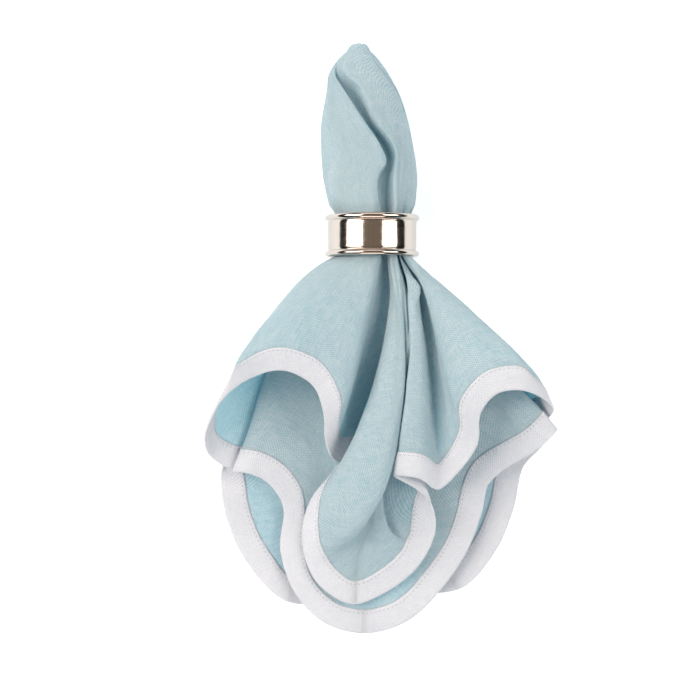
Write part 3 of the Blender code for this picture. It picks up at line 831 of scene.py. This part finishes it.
def finish(name, groups, values, sheen=0.0, bump=(0.0, 0.001), through=None):
    """A Principled material fed by a chain of node groups; the last group's height feeds the bump.
    through is (share, colour) of the light that a thin cloth lets by."""
    made = bpy.data.materials.new(name)
    made.use_nodes = True
    tree = made.node_tree
    shader = tree.nodes["Principled BSDF"]
    for socket, value in values.items():
        shader.inputs[socket].default_value = value
    last = None
    for group, settings in groups:
        node = tree.nodes.new("ShaderNodeGroup")
        node.node_tree = group
        for socket, value in settings.items():
            node.inputs[socket].default_value = value
        if last is not None and "Height" in node.inputs:
            tree.links.new(last.outputs["Height"], node.inputs["Height"])
        if "Color" in node.outputs:
            tree.links.new(node.outputs["Color"], shader.inputs["Base Color"])
        if "Roughness" in node.outputs:
            tree.links.new(node.outputs["Roughness"], shader.inputs["Roughness"])
        last = node
    dent = tree.nodes.new("ShaderNodeBump")
    dent.inputs["Strength"].default_value = bump[0]
    dent.inputs["Distance"].default_value = bump[1]
    tree.links.new(last.outputs["Height"], dent.inputs["Height"])
    tree.links.new(dent.outputs["Normal"], shader.inputs["Normal"])
    if through:
        glow = tree.nodes.new("ShaderNodeBsdfTranslucent")
        glow.inputs["Color"].default_value = through[1]
        blend = tree.nodes.new("ShaderNodeMixShader")
        blend.inputs[0].default_value = through[0]
        tree.links.new(shader.outputs[0], blend.inputs[1])
        tree.links.new(glow.outputs[0], blend.inputs[2])
        tree.links.new(blend.outputs[0], tree.nodes["Material Output"].inputs["Surface"])
    if sheen:
        shader.inputs["Sheen Weight"].default_value = sheen
        shader.inputs["Sheen Roughness"].default_value = 0.45
    return made


# ---------------------------------------------------------------- build

STITCH_PITCH = 2.2
STITCH_LENGTH = 1.35
THREAD_RADIUS = 0.16

BLUE_LIGHT = (0.90, 0.89, 0.88, 1)
BLUE_DARK = (0.37, 0.57, 0.63, 1)
WHITE_LIGHT = (0.82, 0.81, 0.84, 1)
WHITE_DARK = (0.64, 0.64, 0.69, 1)

linen = linen_group()
blue = finish(
    "light blue linen",
    [(linen, {"Light Thread": BLUE_LIGHT, "Dark Thread": BLUE_DARK, "Thread Pitch": 0.52})],
    {"Specular IOR Level": 0.25},
    sheen=0.15,
    bump=(0.55, 0.00025),
    through=(0.38, (0.5, 0.85, 0.95, 1)),
)
white = finish(
    "white linen",
    [
        (linen, {"Light Thread": WHITE_LIGHT, "Dark Thread": WHITE_DARK, "Thread Pitch": 0.5, "Slub": 0.6}),
        (pucker_group(), {"Depth": 1.2}),
    ],
    {"Specular IOR Level": 0.25},
    sheen=0.1,
    bump=(0.6, 0.0003),
)
# The sewing thread is white; its grey-lilac base colour is painted shade, so the stitches read as the dark
# dimples they sit in.
thread = finish(
    "sewing thread greyed as painted shade",
    [(wear_group(), {})],
    {"Base Color": (0.50, 0.50, 0.57, 1), "Specular IOR Level": 0.3},
    bump=(0.2, 0.0001),
)
silver = finish(
    "polished silver plate",
    [(wear_group(), {})],
    {"Base Color": (0.53, 0.485, 0.445, 1), "Metallic": 1.0},
    bump=(0.25, 0.0004),
)

def rippled(sheet):
    """The sheet with the faint unevenness of linen that has been ironed and handled."""
    rows, columns = sheet.shape[:2]
    ripple = 0.35 * soft_noise(rows, columns, 9, 46, 4) + 0.16 * soft_noise(rows, columns, 24, 120, 9)
    calm = np.clip((np.arange(rows) - 6) / 30, 0, 1)[:, None]
    sheet = sheet + grid_normals(sheet) * (ripple * calm)[..., None]
    sheet[..., 2] = np.maximum(sheet[..., 2], PANEL_THICKNESS / 2 + BINDING_THICKNESS + 0.03)
    return sheet


smooth_sheet, cut, mouth_row, seam_row = napkin_sheet()
sheet = rippled(smooth_sheet)
normals = grid_normals(sheet)

tuck = seam_row + 2
panel = panel_piece(sheet[: tuck + 1], normals[: tuck + 1], cut[: tuck + 1], blue)
border = border_piece(sheet[seam_row:], normals[seam_row:], cut[seam_row:], white)
stitching = stitches_piece(sheet[seam_row:], normals[seam_row:], thread)
ring = ring_piece(silver)


# ---------------------------------------------------------------- studio


KEY_COLOUR = (1.0, 0.87, 0.78)
AIR_COLOUR = (0.0, 0.15, 0.23, 1)       # cool light from the room, which fills the folds
BACKDROP_COLOUR = (0.85, 0.87, 0.88, 1)
ROOM_COLOUR = (0.30, 0.235, 0.19, 1)
WALL_COLOUR = (0.018, 0.016, 0.016, 1)


def soft_box(name, place, size, power, colour=(1, 1, 1)):
    lamp = bpy.data.lights.new(name, "AREA")
    lamp.shape = "RECTANGLE"
    lamp.size, lamp.size_y = size
    lamp.energy = power
    lamp.color = colour
    made = bpy.data.objects.new(name, lamp)
    made.location = place
    made.rotation_euler = (Vector((0, 0, 0.02)) - Vector(place)).to_track_quat("-Z", "Y").to_euler()
    bpy.context.collection.objects.link(made)
    return made


def room_tone(tree):
    """What polished metal sees of the room: brown-grey overhead, darker towards the walls."""
    way = tree.nodes.new("ShaderNodeTexCoord")
    split = tree.nodes.new("ShaderNodeSeparateXYZ")
    tree.links.new(way.outputs["Generated"], split.inputs[0])
    height = maths(tree, "ABSOLUTE", split.outputs[2])
    lift = tree.nodes.new("ShaderNodeMapRange")
    lift.inputs["From Min"].default_value = 0.55
    lift.inputs["From Max"].default_value = 1.0
    tree.links.new(height, lift.inputs["Value"])
    smudge = streaks(tree, way.outputs["Generated"], (30, 1.5, 2), 6.0, 3.0)
    tone = maths(tree, "MULTIPLY", lift.outputs["Result"], maths(tree, "ADD", smudge, 0.45))
    shade = tree.nodes.new("ShaderNodeMix")
    shade.data_type = "RGBA"
    ends = [socket for socket in shade.inputs if socket.type == "RGBA"]
    ends[0].default_value = WALL_COLOUR
    ends[1].default_value = ROOM_COLOUR
    tree.links.new(tone, shade.inputs[0])
    return [socket for socket in shade.outputs if socket.type == "RGBA"][0]


def studio():
    mesh = bpy.data.meshes.new("table")
    mesh.from_pydata([(-0.8, -0.8, 0), (0.8, -0.8, 0), (0.8, 0.8, 0), (-0.8, 0.8, 0)], [], [(0, 1, 2, 3)])
    top = bpy.data.materials.new("white table")
    top.use_nodes = True
    shader = top.node_tree.nodes["Principled BSDF"]
    shader.inputs["Base Color"].default_value = (0.9, 0.93, 0.95, 1)
    shader.inputs["Emission Color"].default_value = (1, 1, 1, 1)
    shader.inputs["Emission Strength"].default_value = 0.4
    shader.inputs["Roughness"].default_value = 0.7
    mesh.materials.append(top)
    floor = bpy.data.objects.new("table_top", mesh)
    bpy.context.collection.objects.link(floor)
    soft_box("left soft box", (-0.95, 0.25, 0.95), (0.75, 1.0), 18, KEY_COLOUR)
    soft_box("right soft box", (0.95, 0.15, 0.95), (0.6, 0.9), 11, KEY_COLOUR)
    soft_box("far soft box", (0.0, 1.3, 0.8), (1.2, 0.5), 6, KEY_COLOUR)
    soft_box("near soft box", (0.0, -1.25, 0.75), (1.2, 0.5), 8, KEY_COLOUR)
    world = bpy.data.worlds.new("studio air")
    world.use_nodes = True
    tree = world.node_tree
    rays = tree.nodes.new("ShaderNodeLightPath")
    choose = tree.nodes.new("ShaderNodeMix")
    choose.data_type = "RGBA"
    colours = [socket for socket in choose.inputs if socket.type == "RGBA"]
    colours[0].default_value = AIR_COLOUR
    tree.links.new(room_tone(tree), colours[1])
    tree.links.new(rays.outputs["Is Glossy Ray"], choose.inputs[0])
    behind = tree.nodes.new("ShaderNodeMix")
    behind.data_type = "RGBA"
    plain = [socket for socket in behind.inputs if socket.type == "RGBA"]
    plain[1].default_value = BACKDROP_COLOUR
    tree.links.new(rays.outputs["Is Camera Ray"], behind.inputs[0])
    tree.links.new([socket for socket in choose.outputs if socket.type == "RGBA"][0], plain[0])
    mixed = [socket for socket in behind.outputs if socket.type == "RGBA"][0]
    tree.links.new(mixed, tree.nodes["Background"].inputs["Color"])
    bpy.context.scene.world = world
    bpy.context.scene.view_settings.view_transform = "Standard"


CAMERA_HEIGHT = 0.85
CAMERA_FROM_RING = np.array([-10.75, -56.74])    # sideways and towards the petals, in mm
LENS = 87.0


def overhead_camera():
    lens = bpy.data.cameras.new("camera")
    lens.lens = LENS
    lens.sensor_width = 36
    camera = bpy.data.objects.new("camera", lens)
    camera.location = (*((RING_MIDDLE[:2] + CAMERA_FROM_RING) * MM), CAMERA_HEIGHT)
    bpy.context.collection.objects.link(camera)
    bpy.context.scene.camera = camera


studio()
overhead_camera()
